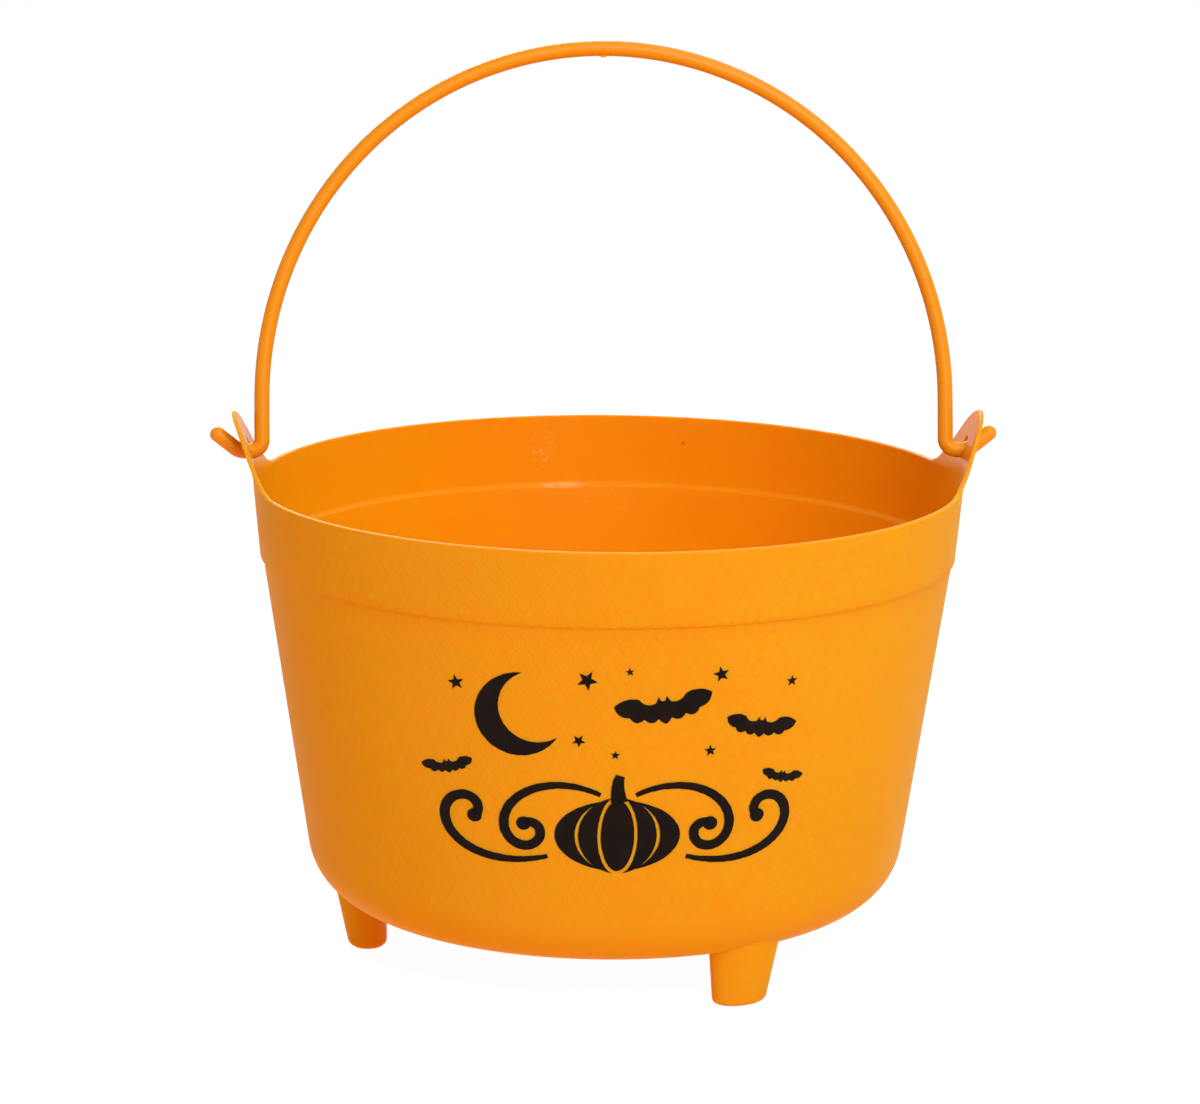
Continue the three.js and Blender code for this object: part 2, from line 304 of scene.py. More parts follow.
SHARP_LEDGE, SOFT_LEDGE = (116.4, 116.75), (115.7, 117.5)
outside_line = one_side(plain_outside, RIM_RADIUS, *SHARP_LEDGE)
inside_line = one_side(plain_inside, RIM_RADIUS - WALL, *SOFT_LEDGE)
section = [
    *outside_line,
    *lip_points(RIM_RADIUS - LIP, 0, 90),
    (RIM_RADIUS - WALL + LIP, RIM_Z),
    *lip_points(RIM_RADIUS - WALL + LIP, 90, 180),
    *inside_line[-2::-1],
]
print("section has", len(section), "points")

# %% Draw the section and spin it


def select_only(piece):
    """Selects one object and makes it the active one."""
    bpy.ops.object.select_all(action="DESELECT")
    piece.select_set(True)
    bpy.context.view_layer.objects.active = piece


SAME_PLACE = 0.002


def draw_line(name, points):
    """Walks one vertex along the points, given in millimetres, and leaves the line in edit mode."""
    places = [Vector(point) * MM for point in points]
    line = add_new(bpy.ops.mesh.primitive_plane_add, name, size=MM, location=(0, 0, 0))
    bpy.ops.object.mode_set(mode="EDIT")
    bpy.ops.mesh.merge(type="CENTER")
    bpy.ops.transform.translate(value=places[0])
    for here, there in zip(places, places[1:]):
        bpy.ops.mesh.extrude_vertices_move(TRANSFORM_OT_translate={"value": there - here})
    return line


def close_mesh(merge=0.0):
    """Merges points that nearly coincide, turns all faces outwards and leaves edit mode."""
    bpy.ops.mesh.select_all(action="SELECT")
    if merge:
        bpy.ops.mesh.remove_doubles(threshold=merge * MM)
    bpy.ops.mesh.normals_make_consistent(inside=False)
    bpy.ops.object.mode_set(mode="OBJECT")


def spin_line(name, points, sweeps, start=0.0):
    """Draws a half section and spins it round the Z axis, one sweep of (degrees, steps) after another."""
    turn = radians(start)
    line = draw_line(name, [(r * cos(turn), r * sin(turn), z) for r, z in points])
    bpy.ops.mesh.select_all(action="SELECT")
    for degrees, steps in sweeps:
        bpy.ops.mesh.spin(steps=steps, angle=radians(degrees), center=(0, 0, 0), axis=(0, 0, 1))
    close_mesh(SAME_PLACE)
    return line


EAR_SWEEP = 36
shell = spin_line(
    "bucket_shell", section,
    [(EAR_SWEEP, 80), (180 - EAR_SWEEP, 72), (EAR_SWEEP, 80), (180 - EAR_SWEEP, 72)],
    start=-EAR_SWEEP / 2,
)
print("shell", len(shell.data.polygons), "faces, size in mm", in_mm(shell.dimensions))

# %% [markdown]
# ## Ears pulled up out of the rim
#
# On the real bucket the ears aren't stuck on: the rim band simply goes on upwards there, so band and ear
# share one surface with no seam. Separate plates would leave a seam to hide, so the rows just below the lip
# are stretched instead. Two weights are worked out for each vertex of the stock, how far it goes up and how
# far it goes out, and Displace modifiers move the vertices by those weights.
#
# The leaf outline has concave shoulders, straight flanks and a round tip. On its way up the plate leans out,
# curls and loses the roundness of the wall, so that it is almost flat at the tip.

# %% Work out the ears' shape
EAR_HEIGHT, EAR_HALF_BASE, EAR_TIP_RADIUS, EAR_SHOULDER_RADIUS = 19.8, 25.5, 16.7, 7.4
EAR_LEAN, EAR_CURL, EAR_THINNING = radians(8.0), 3.4, 0.2

tip_centre = EAR_HEIGHT - EAR_TIP_RADIUS
flank = (
    asin(EAR_TIP_RADIUS / hypot(EAR_HALF_BASE, tip_centre))
    + atan2(tip_centre, EAR_HALF_BASE)
)
shoulder = EAR_HALF_BASE + EAR_SHOULDER_RADIUS * tan(flank / 2)


def ear_height(across):
    """How high the ear's outline stands above the rim, at a distance from the ear's middle."""
    across = abs(across)
    if across >= shoulder:
        return 0.0
    if across >= shoulder - EAR_SHOULDER_RADIUS * sin(flank):
        return EAR_SHOULDER_RADIUS - sqrt(EAR_SHOULDER_RADIUS ** 2 - (shoulder - across) ** 2)
    if across >= EAR_TIP_RADIUS * sin(flank):
        return (EAR_HALF_BASE - across) * tan(flank)
    return tip_centre + sqrt(EAR_TIP_RADIUS ** 2 - across ** 2)


def ear_reach(across, up, is_inside):
    """How far outwards the plate is moved at a height above the rim."""
    if up <= 0:
        return 0.0
    rise = min(up / EAR_HEIGHT, 1.0)
    middle = RIM_RADIUS - WALL / 2
    bulge = middle * (1 - cos(asin(across / middle)))
    thinning = EAR_THINNING * min(rise / 0.2, 1.0) if is_inside else 0.0
    return up * tan(EAR_LEAN) + EAR_CURL * rise ** 2 + (1 - (1 - rise) ** 2) * bulge + thinning


tip_reach = ear_reach(0, EAR_HEIGHT, False)
print("ear base half width", round(shoulder, 2), "reach at the tip", round(tip_reach, 2))

# %% Pull the ears up
MOST_REACH = 10.0

lift = shell.vertex_groups.new(name="ear_lift")
curl_right = shell.vertex_groups.new(name="ear_curl_right")
curl_left = shell.vertex_groups.new(name="ear_curl_left")
for vertex in shell.data.vertices:
    x, y, z = vertex.co / MM
    if z < STOCK_LOW or abs(x) < RIM_RADIUS / 2 or abs(y) > shoulder:
        continue
    share = min((z - STOCK_LOW) / (STOCK_HIGH - STOCK_LOW), 1.0)
    height = ear_height(y) * share
    lift.add([vertex.index], height / EAR_HEIGHT, "REPLACE")
    reach = ear_reach(y, z - RIM_Z + height, hypot(x, y) < RIM_RADIUS - WALL / 2)
    curl = curl_right if x > 0 else curl_left
    curl.add([vertex.index], reach / MOST_REACH, "REPLACE")


def apply_modifier(piece, name, kind, **settings):
    """Gives the active piece a modifier with these settings and applies it."""
    modifier = piece.modifiers.new(name, kind)
    for setting, value in settings.items():
        setattr(modifier, setting, value)
    bpy.ops.object.modifier_apply(modifier=modifier.name)


def displace_by(piece, group_name, direction, strength):
    """Moves the vertices of a group along one axis, each by its weight."""
    apply_modifier(
        piece, group_name, "DISPLACE",
        direction=direction, vertex_group=group_name, mid_level=0, strength=strength * MM,
    )


select_only(shell)
displace_by(shell, "ear_lift", "Z", EAR_HEIGHT)
displace_by(shell, "ear_curl_right", "X", MOST_REACH)
displace_by(shell, "ear_curl_left", "X", -MOST_REACH)
shell.vertex_groups.clear()
print("shell with its ears, size in mm", in_mm(shell.dimensions))

# %% [markdown]
# ## Hollow feet
#
# Each foot is an oval peg that narrows downwards, with a rounded bottom edge. It is hollow and open to the
# inside of the bucket, as any injection moulding with walls of one thickness must be. A circle is extruded
# ring by ring, and each ring is resized and moved a little outwards, which gives the taper and the lean at
# once. The same steps with every side 1.5 mm smaller give the cutter for the well inside the foot.
#
# The pegs have to end inside the thickness of the shell before they are joined to it. They are trimmed with
# a solid that follows the middle of the wall, so nothing of them stands up in the bucket.

# %% Model one foot and its well
FOOT_HALF_LENGTH, FOOT_ROUND, FOOT_ROUNDNESS = 8.5, 2.0, 0.68
FOOT_DRAFT, FOOT_LEAN = radians(7.8), radians(6.6)
FOOT_CIRCLE = 68.998
FOOT_TOP, WELL_TOP = 23.4, 28.4
FOOT_TURNS = (180, 300, 60)


def extrude_peg(name, inset, top):
    """An oval peg on the +X side, walked upwards from its bottom face."""
    half = FOOT_HALF_LENGTH - inset
    rounding = max(FOOT_ROUND - inset, LIP)
    ratio = (FOOT_HALF_LENGTH * FOOT_ROUNDNESS - inset) / half
    rings = [(half - rounding, inset)]
    for i in range(1, 9):
        a = radians(-90 + 90 * i / 8)
        rings.append((half - rounding + rounding * cos(a), inset + rounding + rounding * sin(a)))
    straight = rings[-1]
    rings += between(straight, (half + (top - inset) * tan(FOOT_DRAFT), top), 6)
    peg = add_new(
        bpy.ops.mesh.primitive_circle_add, name,
        vertices=72, radius=rings[0][0] * MM, fill_type="NGON", location=(0, 0, 0),
    )
    bpy.ops.object.mode_set(mode="EDIT")
    bpy.ops.mesh.select_all(action="SELECT")
    bpy.ops.transform.resize(value=(ratio, 1, 1), center_override=(0, 0, 0))
    start = Vector((FOOT_CIRCLE + inset * tan(FOOT_LEAN), 0, inset)) * MM
    bpy.ops.transform.translate(value=start)
    place = start
    for (size_before, _), (size, z) in zip(rings, rings[1:]):
        there = Vector((FOOT_CIRCLE + z * tan(FOOT_LEAN), 0, z)) * MM
        bpy.ops.mesh.extrude_region_move(TRANSFORM_OT_translate={"value": there - place})
        grow = size / size_before
        bpy.ops.transform.resize(value=(grow, grow, 1), center_override=there)
        place = there
    close_mesh()
    return peg


def copy_turned(piece, name, degrees):
    """A copy with its own mesh, turned round the Z axis, with the turn kept in the mesh."""
    select_only(piece)
    bpy.ops.object.duplicate(linked=False)
    copy = bpy.context.object
    copy.name = name
    copy.rotation_euler = (0, 0, radians(degrees))
    bpy.ops.object.transform_apply()
    return copy


def join(pieces, name):
    """Joins several objects into one."""
    bpy.ops.object.select_all(action="DESELECT")
    for piece in pieces:
        piece.select_set(True)
    bpy.context.view_layer.objects.active = pieces[0]
    bpy.ops.object.join()
    pieces[0].name = name
    return pieces[0]


def delete(piece):
    """Deletes one object."""
    select_only(piece)
    bpy.ops.object.delete()


def ring_of_feet(name, inset, top):
    """The same peg at the three places round the bucket, as one object."""
    first = extrude_peg(name, inset, top)
    ring = [copy_turned(first, name, turn) for turn in FOOT_TURNS]
    delete(first)
    return join(ring, name)


pegs = ring_of_feet("foot_pegs", 0, FOOT_TOP)
wells = ring_of_feet("foot_wells", WALL, WELL_TOP)
print("pegs, size in mm", in_mm(pegs.dimensions))

# %% Join the feet to the shell


def boolean(piece, tool, operation):
    """Adds or takes away the tool, applies it and deletes the tool."""
    select_only(piece)
    apply_modifier(piece, "join_or_cut", "BOOLEAN", object=tool, operation=operation, solver="EXACT")
    delete(tool)


middle_line = moved_inwards(plain_outside[:2 + CORNER_STEPS], WALL / 2)
core_top = middle_line[-1][1]
core = spin_line("middle_of_wall", [*middle_line, (0, core_top)], [(360, 240)])
boolean(pegs, core, "DIFFERENCE")
boolean(shell, pegs, "UNION")
boolean(shell, wells, "DIFFERENCE")
print("shell with its feet", len(shell.data.polygons), "faces")

# %% [markdown]
# ## Handle holes
#
# One bore along X goes through both ears. It is wider than the rod, and its middle is a little higher than
# the rod's. A long cylinder cuts both holes in one step, and its sixty-four sides are plenty for a hole of
# this size. A Boolean leaves faces with many corners, some of them in one line. They are cut into triangles,
# and triangles of no area are dissolved, so that the finished mesh stays closed when it is exported.

# %% Bore the ears
HOLE_RADIUS, HOLE_Z, BORE_LENGTH = 3.3, 146.9, 260

bore = add_new(
    bpy.ops.mesh.primitive_cylinder_add, "ear_bore",
    vertices=64, radius=HOLE_RADIUS * MM, depth=BORE_LENGTH * MM,
    location=(0, 0, HOLE_Z * MM), rotation=(0, radians(90), 0),
)
bpy.ops.object.transform_apply()
boolean(shell, bore, "DIFFERENCE")
print("shell with its holes", len(shell.data.polygons), "faces")

# %% Smooth the shell and hand it to its body


def clear_slivers(piece):
    """Cuts the many-sided faces that a Boolean leaves into triangles and dissolves those of no area."""
    select_only(piece)
    bpy.ops.object.mode_set(mode="EDIT")
    bpy.ops.mesh.select_all(action="DESELECT")
    bpy.ops.mesh.select_face_by_sides(number=4, type="GREATER")
    bpy.ops.mesh.quads_convert_to_tris(quad_method="BEAUTY", ngon_method="BEAUTY")
    bpy.ops.mesh.select_all(action="SELECT")
    bpy.ops.mesh.dissolve_degenerate(threshold=0.001 * MM)
    bpy.ops.object.mode_set(mode="OBJECT")


def finish_piece(piece, body, angle=35):
    """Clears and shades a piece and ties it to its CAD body."""
    clear_slivers(piece)
    bpy.ops.object.shade_smooth_by_angle(angle=radians(angle))
    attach(piece, body)
    return piece


finish_piece(shell, "bucket_body")
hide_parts("bucket")

# %% [markdown]
# ## The bail handle
#
# The handle is one round rod that was moulded flat: a tall arch, two straight legs, and at each end a hook
# that goes through the ear and turns up outside it, so that it can't slip out. A rod of one thickness is
# easiest to make as a line with a round bevel. The line is worked out in the handle's own plane, one half
# and then its mirror image, with its points close together in the tight bends, and it is leaned back round
# the pivot, as the bail rests. At both tips the radius shrinks along a quarter circle, which rounds them.

# %% Draw the handle's line
ROD_RADIUS = 2.2
HALF_SPAN, LEG, RISE = 98.0, 14.8, 100.36
HOOK_BEND, HOOK_FLAT, TAIL_BEND, TAIL_LENGTH = 3.2, 1.8, 4.5, 6.14
TAIL_TURN, HANDLE_LEAN = radians(38), radians(12.5)
PIVOT_Z, SIDE_PLAY = 146.1, 1.0


def arc(centre, radii, start, end, steps):
    """Points after the start of an elliptic arc up to its end, with the angles in radians."""
    turns = [start + (end - start) * i / steps for i in range(1, steps + 1)]
    return [(centre[0] + radii[0] * cos(a), centre[1] + radii[1] * sin(a)) for a in turns]


def half_of_handle():
    """From the tip of one tail to the top of the arch, as (across, above the pivot)."""
    quarter = pi / 2
    flat_start = HALF_SPAN + HOOK_BEND
    flat_end = flat_start + HOOK_FLAT
    heading = Vector((cos(TAIL_TURN), sin(TAIL_TURN)))
    tail_start = Vector((
        flat_end + TAIL_BEND * sin(TAIL_TURN), TAIL_BEND * (1 - cos(TAIL_TURN)),
    ))
    tail_end = tail_start + heading * TAIL_LENGTH
    tip = [tail_end + heading * ROD_RADIUS * cos(quarter * i / 9) for i in range(10)]
    return [
        *[tuple(point) for point in tip],
        *between(tip[-1], tail_start, 4),
        *arc((flat_end, TAIL_BEND), (TAIL_BEND, TAIL_BEND), TAIL_TURN - quarter, -quarter, 12),
        (flat_start, 0),
        *arc((flat_start, HOOK_BEND), (HOOK_BEND, HOOK_BEND), -quarter, -2 * quarter, 20),
        *between((HALF_SPAN, HOOK_BEND), (HALF_SPAN, LEG), 4),
        *arc((0, LEG), (HALF_SPAN, RISE), 0, quarter, 90),
    ]


right_half = half_of_handle()
left_half = [(-across, above) for across, above in right_half[-2::-1]]
rod_points = [
    (across - SIDE_PLAY, above * sin(HANDLE_LEAN), PIVOT_Z + above * cos(HANDLE_LEAN))
    for across, above in right_half + left_half
]
rod = draw_line("bail_handle", rod_points)
bpy.ops.object.mode_set(mode="OBJECT")
print("rod line has", len(rod_points), "points")

# %% Give the line its round section
select_only(rod)
bpy.ops.object.convert(target="CURVE")
rod.data.bevel_depth = ROD_RADIUS * MM
rod.data.bevel_resolution = 14
rod.data.use_fill_caps = True
for point, step in zip(rod.data.splines[0].points, range(len(rod_points))):
    from_tip = min(step, len(rod_points) - 1 - step)
    point.radius = max(sin(pi / 2 * min(from_tip, 9) / 9), 0.03)
bpy.ops.object.convert(target="MESH")
bpy.ops.object.mode_set(mode="EDIT")
close_mesh(SAME_PLACE)
print("rod", len(rod.data.polygons), "faces")

# %% [markdown]
# ### The gate mark
#
# Melted plastic entered the rod's mould at the middle of the arch, on its inner side. When the runner is
# broken off there, a low round stub stays. It is a short cylinder with a bevelled end, merged with the rod.

# %% Add the gate mark to the rod
GATE_RADIUS, GATE_PROUD = 0.85, 0.3

gate_reach = ROD_RADIUS + GATE_PROUD
arch_top = LEG + RISE
gate = add_new(
    bpy.ops.mesh.primitive_cylinder_add, "gate_stub",
    vertices=32, radius=GATE_RADIUS * MM, depth=gate_reach * MM, location=(0, 0, -gate_reach / 2 * MM),
)
bpy.ops.object.transform_apply()
apply_modifier(gate, "broken_edge", "BEVEL", width=0.15 * MM, segments=3, limit_method="ANGLE")
gate.rotation_euler = (-HANDLE_LEAN, 0, 0)
gate.location = MM * Vector((
    -SIDE_PLAY, arch_top * sin(HANDLE_LEAN), PIVOT_Z + arch_top * cos(HANDLE_LEAN),
))
bpy.ops.object.transform_apply()
boolean(rod, gate, "UNION")
finish_piece(rod, "handle_body", angle=50)
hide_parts("handle")
print("handle", len(rod.data.polygons), "faces, size in mm", in_mm(rod.dimensions))

# %% [markdown]
# ## The print
#
# The picture on the front is one thin layer of dark ink, screen printed on the curved wall. It could be
# painted into the plastic's material, but an outline drawn as geometry keeps a crisp edge at any distance.
# Each motif is a closed line that is filled with one face. The faces are cut into narrow upright strips, so
# that they can follow the wall, projected on to it from the front, and given the thickness of a film of ink.
#
# The motifs are a plain pumpkin with curled vines, a crescent moon, stars and small bats. A printed edge is
# never quite clean, so the points of the outlines are moved a little at random, with a fixed seed.

# %% Shapes for the motifs
PRINT_ACROSS, PRINT_UP = -2.0, 73.5


def ellipse(across, up, radius_across, radius_up, steps=48):
    """A closed oval."""
    return arc((across, up), (radius_across, radius_up), 0, 2 * pi, steps)


def star(across, up, radius, turn, waist=0.42):
    """A five-pointed star."""
    points = []
    for i in range(10):
        reach = radius if i % 2 == 0 else radius * waist
        a = radians(turn + 36 * i)
        points.append((across + reach * cos(a), up + reach * sin(a)))
    return points


def crescent(across, up, radius, inner, bite, turn):
    """A moon: a circle with a smaller one taken out of its side."""
    horn = acos((radius ** 2 + bite ** 2 - inner ** 2) / (2 * radius * bite))
    inner_horn = acos((radius ** 2 - bite ** 2 - inner ** 2) / (2 * bite * inner))
    shape = arc((0, 0), (radius, radius), horn, 2 * pi - horn, 60)
    shape += arc((bite, 0), (inner, inner), 2 * pi - inner_horn, inner_horn, 56)
    c, s = cos(turn), sin(turn)
    return [(across + x * c - y * s, up + x * s + y * c) for x, y in shape]


def sagging(start, end, sag, steps):
    """Points after the start up to the end, on a shallow bow."""
    along = Vector(end) - Vector(start)
    aside = Vector((-along.y, along.x)).normalized()
    points = []
    for i in range(1, steps + 1):
        t = i / steps
        points.append(tuple(Vector(start) + along * t + aside * 4 * t * (1 - t) * sag))
    return points


def bat(across, up, span, turn):
    """A small bat with spread wings."""
    half = [(0, 3.0), (0.9, 3.3), (1.6, 5.2), (2.5, 3.4), (3.2, 2.4)]
    half += sagging(half[-1], (9.5, 5.0), -1.3, 6)
    half += sagging(half[-1], (20, 3.4), 1.5, 9)
    half += sagging(half[-1], (14.2, -2.2), 1.5, 6)
    half += sagging(half[-1], (8.4, -3.6), 1.8, 6)
    half += sagging(half[-1], (2.6, -4.4), 1.6, 6)
    half += sagging(half[-1], (0, -6.8), 0.3, 3)
    whole = half + [(-x, y) for x, y in half[-2:0:-1]]
    grow, c, s = span / 40, cos(turn), sin(turn)
    return [(across + grow * (x * c - y * s), up + grow * (x * s + y * c)) for x, y in whole]


def pumpkin_rib(up, inner, outer, height, side, gap=0.45, end_width=0.27, steps=32):
    """One side rib of the pumpkin: the space between two half ovals, less a gap at each side."""
    reach = acos((2 * gap + end_width) / (outer - inner))
    turns = [reach - 2 * reach * i / steps for i in range(steps + 1)]
    outer_edge = [(side * (outer * cos(a) - gap), up + height * sin(a)) for a in turns]
    inner_edge = [(side * (inner * cos(a) + gap), up + height * sin(a)) for a in reversed(turns)]
    return outer_edge + inner_edge


def vine(across, up, heading, length, bends, widths, swell=0.0, power=2.8, steps=74):
    """A stroke whose bend, in degrees per millimetre, tightens along its way, and its width changes too."""
    left, right = [], []
    turn, step = radians(heading), length / steps
    for i in range(steps + 1):
        t = i / steps
        half = (widths[0] + (widths[1] - widths[0]) * t + swell * sin(pi * t)) / 2
        left.append((across - half * sin(turn), up + half * cos(turn)))
        right.append((across + half * sin(turn), up - half * cos(turn)))
        turn += radians(bends[0] + (bends[1] - bends[0]) * t ** power) * step
        across, up = across + cos(turn) * step, up + sin(turn) * step
    return left + right[::-1], (across, up)


print("shapes for the print are ready")

# %% Lay out the motifs
PUMPKIN_UP = -17.0

motifs = [ellipse(0, PUMPKIN_UP, 4.6, 10.4)]
for side in (1, -1):
    motifs.append(pumpkin_rib(PUMPKIN_UP, 5.0, 11.2, 11.2, side))
    motifs.append(pumpkin_rib(PUMPKIN_UP, 11.2, 17.6, 10.4, side))
motifs.append(vine(0.3, -7.4, 100, 8.0, (-1.0, -9.0), (4.6, 2.6), power=1.5, steps=14)[0])

motifs.append(crescent(-27, 17.5, 12.0, 10.32, 5.2, radians(28)))
for across, up, span, turn in (
    (12, 20, 27, 8), (39, 13, 20, -10), (-46, 0.5, 14, 14), (45.5, -2.5, 12, -14),
):
    motifs.append(bat(across, up, span, radians(turn)))
for across, up, radius in (
    (-9.0, 28.0, 3.0), (-44.0, 25.0, 2.3), (27.5, 29.0, 2.4), (-11.0, 10.5, 2.0), (25.0, 7.0, 1.8),
    (2.5, 30.5, 1.3), (47.5, 25.0, 1.7), (-1.0, 6.5, 1.4),
):
    motifs.append(star(across, up, radius, 90 + 3 * across))

for side in (1, -1):
    for start, heading, length, bend, tight in (
        ((4.8, -5.2), 28, 54, -2.4, -22),
        ((18.9, -23.5), -18, 50, 1.6, 20),
    ):
        outline, end = vine(
            side * start[0], start[1], heading if side > 0 else 180 - heading, length,
            (side * bend, side * tight), (1.3, 2.7), swell=0.6,
        )
        motifs.append(outline)
        motifs.append(ellipse(*end, 2.0, 2.0, steps=22))
print(len(motifs), "motifs")

# %% Draw, cut and project the print
PRINT_FRONT, PRINT_HALF_WIDTH, STRIP = -115.0, 54, 2.0
INK_PROUD, INK_FILM, ROUGH_EDGE = 0.03, 0.06, 0.09


def fill_outline(points):
    """One motif as a filled face that stands in front of the bucket."""
    places = [(PRINT_ACROSS + across, PRINT_FRONT, PRINT_UP + up) for across, up in points]
    motif = draw_line("motif", [*places, places[0]])
    bpy.ops.mesh.select_all(action="SELECT")
    bpy.ops.mesh.remove_doubles(threshold=0.01 * MM)
    bpy.ops.mesh.edge_face_add()
    bpy.ops.object.mode_set(mode="OBJECT")
    return motif


ink = join([fill_outline(points) for points in motifs], "front_print")
select_only(ink)
bpy.ops.object.mode_set(mode="EDIT")
bpy.ops.mesh.select_all(action="SELECT")
bpy.ops.transform.vertex_random(offset=ROUGH_EDGE * MM, uniform=0.0, normal=0.0, seed=7)
bpy.ops.mesh.quads_convert_to_tris(quad_method="BEAUTY", ngon_method="BEAUTY")
across = PRINT_ACROSS - PRINT_HALF_WIDTH
while across < PRINT_ACROSS + PRINT_HALF_WIDTH:
    bpy.ops.mesh.select_all(action="SELECT")
    bpy.ops.mesh.bisect(plane_co=(across * MM, 0, 0), plane_no=(1, 0, 0))
    across += STRIP
close_mesh()
apply_modifier(
    ink, "on_to_the_wall", "SHRINKWRAP", target=shell, wrap_method="PROJECT", use_project_y=True,
    use_positive_direction=True, use_negative_direction=False, offset=INK_PROUD * MM,
)
apply_modifier(ink, "film_of_ink", "SOLIDIFY", thickness=INK_FILM * MM, offset=0)
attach(ink, "bucket_body")
print("print", len(ink.data.polygons), "faces, size in mm", in_mm(ink.dimensions))

# %% [markdown]
# ## What the plastic needs
#
# The bucket is orange polypropylene, coloured right through. Four things keep such a plastic from looking
# like flat paint: the colour drifts very slightly where the melt flowed, the skin has a fine grain that
# breaks up the highlight, a few places carry marks and a painted highlight, and the outside carries a
# shallow embossed honeycomb. Each of these is a node group with its own inputs, and a material places it
# with its own values.
# The groups only hand out colours, shares and heights. The shader stays in each material.

# %% A few helpers for node groups


def new_group(name, outputs, **defaults):
    """A shader node group with a Position, an input for each default, and the named outputs."""
    group = bpy.data.node_groups.new(name, "ShaderNodeTree")
    group.interface.new_socket("Position", in_out="INPUT", socket_type="NodeSocketVector")
    for input_name, default in defaults.items():
        kind = "Float" if isinstance(default, float) else {3: "Vector", 4: "Color"}[len(default)]
        socket = group.interface.new_socket(
            input_name.replace("_", " "), in_out="INPUT", socket_type="NodeSocket" + kind,
        )
        socket.default_value = default
    for output_name in outputs:
        kind = "Color" if output_name == "Colour" else "Float"
        group.interface.new_socket(output_name, in_out="OUTPUT", socket_type="NodeSocket" + kind)
    return group, group.nodes.new("NodeGroupInput").outputs, group.nodes.new("NodeGroupOutput").inputs


def fade(tree, value, low, high, at_low=0.0, at_high=1.0):
    """A smooth change from one value to another while the input goes from low to high."""
    node = add_node(tree, "MapRange", value, low, high, at_low, at_high)
    node.interpolation_type = "SMOOTHSTEP"
    return node.outputs[0]


def noise(tree, vector, scale, detail=2.0):
    """A Noise Texture. Returns its factor."""
    return add_node(tree, "TexNoise", vector, Scale=scale, Detail=detail).outputs["Fac"]


def mix_colours(tree, share, first, second):
    """A colour mix by a share from 0 to 1."""
    node = add_node(tree, "Mix")
    node.data_type = "RGBA"
    wire(tree, share, node.inputs["Factor"])
    wire(tree, first, node.inputs["A"])
    wire(tree, second, node.inputs["B"])
    return node.outputs["Result"]


print("helpers for node groups are ready")

# %% Colour that drifts with the flow of the melt
drift_group, given, result = new_group(
    "melt_drift", ["Colour"],
    Colour=(0.9, 0.3, 0.01, 1), Deep_Colour=(0.85, 0.25, 0.01, 1), Drift_Scale=14.0, Drift_Amount=0.3,
)
broad = noise(drift_group, given["Position"], given["Drift Scale"], 3.0)
share = calculate(drift_group, "MULTIPLY", fade(drift_group, broad, 0.35, 0.7), given["Drift Amount"])
drifted = mix_colours(drift_group, share, given["Colour"], given["Deep Colour"])
drift_group.links.new(drifted, result["Colour"])
print("group", drift_group.name)

# %% Grain and faint scuffs
skin_group, given, result = new_group(
    "mould_skin", ["Height", "Roughness"],
    Grain_Scale=900.0, Grain_Height=1.0, Roughness=0.45, Roughness_Spread=0.08, Scuffs=0.3,
)
grain = noise(skin_group, given["Position"], given["Grain Scale"], 2.0)
patches = noise(skin_group, given["Position"], 38.0, 4.0)
stretched = add_node(skin_group, "Mapping", given["Position"], Scale=(1.0, 1.0, 0.16))
scratches = fade(skin_group, noise(skin_group, stretched.outputs[0], 420.0, 3.0), 0.62, 0.78)
where_rubbed = fade(skin_group, noise(skin_group, given["Position"], 17.0, 2.0), 0.5, 0.68)
skin = partial(calculate, skin_group)
scuffs = skin("MULTIPLY", skin("MULTIPLY", scratches, where_rubbed), given["Scuffs"])
spread = skin("MULTIPLY", skin("SUBTRACT", patches, 0.5), given["Roughness Spread"])
rough = skin("ADD", given["Roughness"], skin("MULTIPLY", spread, 2.0))
rough = skin("ADD", rough, skin("MULTIPLY", scuffs, 0.35))
height = skin("MULTIPLY", grain, given["Grain Height"])
height = skin("SUBTRACT", height, scuffs)
skin_group.links.new(height, result["Height"])
skin_group.links.new(rough, result["Roughness"])
print("group", skin_group.name)

# %% Marks and a painted highlight, each at one place
mark_and_highlight_group, given, result = new_group(
    "local_mark_and_painted_highlight", ["Share"],
    Centre=(0.0, 0.0, 0.0), Half_Size=(0.01, 0.01, 0.01), Speckle_Scale=700.0, Cover=0.5,
)
mark = partial(calculate, mark_and_highlight_group)
from_centre = mark("SUBTRACT", given["Position"], given["Centre"], kind="VectorMath")
in_sizes = mark("DIVIDE", from_centre, given["Half Size"], kind="VectorMath")
far = add_node(mark_and_highlight_group, "VectorMath", in_sizes)
far.operation = "LENGTH"
near_centre = fade(mark_and_highlight_group, far.outputs["Value"], 0.3, 1.0, 1.0, 0.0)
speckle = noise(mark_and_highlight_group, given["Position"], given["Speckle Scale"], 4.0)
threshold = mark("SUBTRACT", 0.8, mark("MULTIPLY", given["Cover"], 0.6))
speckle = fade(mark_and_highlight_group, speckle, threshold, mark("ADD", threshold, 0.12))
mark_and_highlight_group.links.new(mark("MULTIPLY", near_centre, speckle), result["Share"])
print("group", mark_and_highlight_group.name)

# %% [markdown]
# ## The embossed honeycomb
#
# The pattern on the outside is etched into the mould: low zigzag ridges in rows, each row the mirror of the
# one below, with short upright ridges between them. It is worked out from two numbers, the angle round the
# upright axis and the height, so it wraps round the wall without a seam and is as fine as the bump needs. A
# whole number of cells goes round the bucket. The rows fade out at the bottom corner and at the rim.

